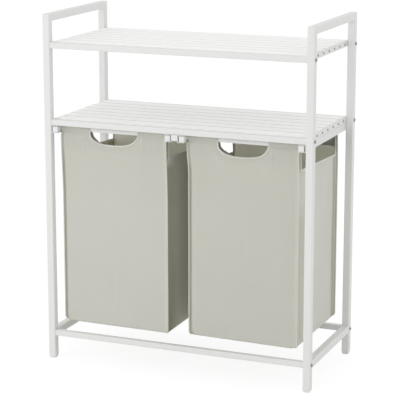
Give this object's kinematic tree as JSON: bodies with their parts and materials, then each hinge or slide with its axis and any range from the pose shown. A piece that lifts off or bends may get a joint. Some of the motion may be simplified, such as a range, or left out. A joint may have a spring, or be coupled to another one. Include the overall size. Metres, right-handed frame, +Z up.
{
  "type": "laundry hamper with two bins",
  "caption": "Free-standing square-tube rack with slatted shelves above fabric laundry bags that slide out to the front on channel runners.",
  "frame": {"origin": "on the floor under the middle of the rack", "axes": "+Z up, -Y to the front, where the bags pull out, +X to the right seen from the front"},
  "size_m": [0.722, 0.337, 0.9],
  "materials": {
    "frame_paint": "white powder coat, satin",
    "bolt_zinc": "zinc plated",
    "white_plastic": "moulded, satin",
    "slat_paint": "white paint, satin",
    "bag_fabric": "woven polyester, pale grey-beige"
  },
  "bodies": {
    "rack": {"bolt_left_lower_front": "bolt_zinc", "bolt_left_lower_rear": "bolt_zinc", "bolt_left_middle_front": "bolt_zinc", "bolt_left_middle_rear": "bolt_zinc", "bolt_left_top_front": "bolt_zinc", "bolt_left_top_rear": "bolt_zinc", "bolt_right_lower_front": "bolt_zinc", "bolt_right_lower_rear": "bolt_zinc", "bolt_right_middle_front": "bolt_zinc", "bolt_right_middle_rear": "bolt_zinc", "bolt_right_top_front": "bolt_zinc", "bolt_right_top_rear": "bolt_zinc", "foot_left_front": "white_plastic", "foot_left_rear": "white_plastic", "foot_right_front": "white_plastic", "foot_right_rear": "white_plastic", "lower_rail_front": "frame_paint", "lower_rail_rear": "frame_paint", "middle_end_bar_left": "frame_paint", "middle_end_bar_right": "frame_paint", "middle_rail_front": "frame_paint", "middle_rail_rear": "frame_paint", "middle_slat_1": "slat_paint", "middle_slat_2": "slat_paint", "middle_slat_3": "slat_paint", "middle_slat_4": "slat_paint", "middle_slat_5": "slat_paint", "middle_slat_6": "slat_paint", "middle_slat_7": "slat_paint", "runner_centre": "frame_paint", "runner_left": "frame_paint", "runner_right": "frame_paint", "side_frame_left": "frame_paint", "side_frame_right": "frame_paint", "top_end_bar_left": "frame_paint", "top_end_bar_right": "frame_paint", "top_rail_front": "frame_paint", "top_rail_rear": "frame_paint", "top_slat_1": "slat_paint", "top_slat_2": "slat_paint", "top_slat_3": "slat_paint", "top_slat_4": "slat_paint", "top_slat_5": "slat_paint", "top_slat_6": "slat_paint", "top_slat_7": "slat_paint"},
    "left_bin": {"left_bag": "bag_fabric", "left_bar_front": "frame_paint", "left_bar_rear": "frame_paint", "left_cap_inner": "white_plastic", "left_cap_outer": "white_plastic", "left_slider_inner": "frame_paint", "left_slider_outer": "frame_paint"},
    "right_bin": {"right_bag": "bag_fabric", "right_bar_front": "frame_paint", "right_bar_rear": "frame_paint", "right_cap_inner": "white_plastic", "right_cap_outer": "white_plastic", "right_slider_inner": "frame_paint", "right_slider_outer": "frame_paint"}
  },
  "joints": [
    {"name": "left_bin_slide", "type": "slide", "parent": "rack", "child": "left_bin", "axis": [0, -1, 0], "range_m": [0, 0.25]},
    {"name": "right_bin_slide", "type": "slide", "parent": "rack", "child": "right_bin", "axis": [0, -1, 0], "range_m": [0, 0.25]}
  ]
}
